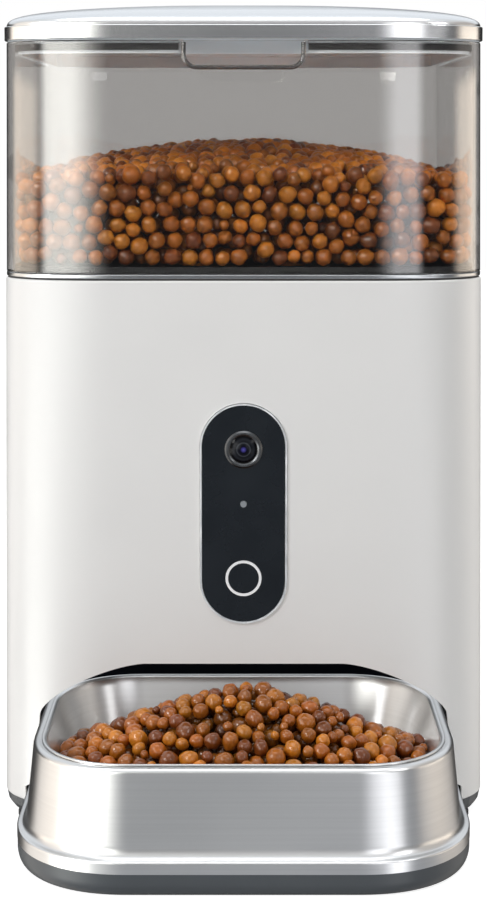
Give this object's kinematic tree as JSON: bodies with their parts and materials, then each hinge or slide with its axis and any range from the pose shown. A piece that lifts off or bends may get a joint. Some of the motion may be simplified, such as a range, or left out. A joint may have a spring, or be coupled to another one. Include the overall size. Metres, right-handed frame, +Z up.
{
  "type": "smart cat feeder",
  "caption": "Free-standing cat feeder: clear hopper with a domed steel lid on a white body, camera panel, geared dispensing rotor, and a steel bowl that pulls out of an arched alcove.",
  "frame": {"origin": "on the table, under the middle of the outline of body and bowl", "axes": "+Z up, -Y to the front where the bowl is, +X to the right as seen from the front"},
  "size_m": [0.1944, 0.2534, 0.3277],
  "materials": {
    "white_plastic": "fine satin",
    "slate_plastic": "satin",
    "black_rubber": "matte",
    "steel": "bright",
    "black_plastic": "satin",
    "inner_plastic": "matte",
    "motor_metal": "zinc plated",
    "panel_black": "gloss",
    "trim_metal": "satin",
    "lens_glass": "coated",
    "board_green": "solder mask",
    "light_pipe": "frosted",
    "pinion_brass": "machined",
    "gear_plastic": "moulded",
    "rotor_plastic": "moulded",
    "blade_rubber": "silicone",
    "clear_tank": "clear, slightly smoky",
    "brushed_steel": "brushed"
  },
  "bodies": {
    "housing": {"body_shell": "white_plastic", "base_plate": "slate_plastic", "foot_pads": "black_rubber", "base_screws": "steel", "bowl_alcove": "black_plastic", "hopper_well": "inner_plastic", "food_chute": "inner_plastic", "hopper_gasket": "black_rubber", "gear_case": "slate_plastic", "case_screws": "steel", "idler_pin": "steel", "drive_motor": "motor_metal", "camera_panel": "panel_black", "panel_trim": "trim_metal", "lens_bezel": "trim_metal", "camera_lens": "lens_glass", "lens_barrel": "black_plastic", "camera_board": "board_green", "status_light": "light_pipe", "button_ring": "light_pipe", "control_board": "board_green", "main_board": "board_green", "board_screws": "steel", "power_inlet": "steel", "speaker": "black_plastic"},
    "hopper": {"hopper_tank": "clear_tank", "hopper_ring": "brushed_steel", "hopper_floor": "black_plastic"},
    "lid": {"lid_cap": "brushed_steel", "lid_liner": "inner_plastic", "lid_seal": "black_rubber"},
    "rotor": {"rotor_hub": "rotor_plastic", "rotor_blades": "blade_rubber", "stirrer": "rotor_plastic"},
    "drive": {"output_gear": "gear_plastic"},
    "idler": {"idler_gear": "gear_plastic"},
    "pinion": {"motor_shaft": "steel", "motor_pinion": "pinion_brass"},
    "bowl": {"bowl_skirt": "brushed_steel", "bowl_liner": "brushed_steel", "bowl_base": "slate_plastic"},
    "button": {"feed_button": "panel_black"}
  },
  "joints": [
    {"name": "hopper_lift", "type": "slide", "parent": "housing", "child": "hopper", "axis": [0, 0, 1], "range_m": [0, 0.08]},
    {"name": "lid_lift", "type": "slide", "parent": "hopper", "child": "lid", "axis": [0, 0, 1], "range_m": [0, 0.08]},
    {"name": "bowl_pull", "type": "slide", "parent": "housing", "child": "bowl", "axis": [0, -1, 0], "range_m": [0, 0.11]},
    {"name": "button_press", "type": "slide", "parent": "housing", "child": "button", "axis": [0, 0.9999, -0.0105], "range_m": [0, 0.0008], "stiffness_N_per_m": 800},
    {"name": "rotor_spin", "type": "hinge", "parent": "hopper", "child": "rotor", "pos_m": [0, 0.0345, 0.19], "axis": [0, 0, 1], "continuous": true},
    {"name": "output_spin", "type": "hinge", "parent": "housing", "child": "drive", "pos_m": [0, 0.0345, 0.168], "axis": [0, 0, 1], "continuous": true},
    {"name": "idler_spin", "type": "hinge", "parent": "housing", "child": "idler", "pos_m": [0, 0.0537, 0.165], "axis": [0, 0, 1], "continuous": true},
    {"name": "pinion_spin", "type": "hinge", "parent": "housing", "child": "pinion", "pos_m": [0, 0.0729, 0.162], "axis": [0, 0, 1], "continuous": true}
  ],
  "couplings": [
    {"joint": "output_spin", "follows": "rotor_spin", "ratio": 1},
    {"joint": "idler_spin", "follows": "rotor_spin", "ratio": -3},
    {"joint": "pinion_spin", "follows": "rotor_spin", "ratio": 9}
  ]
}
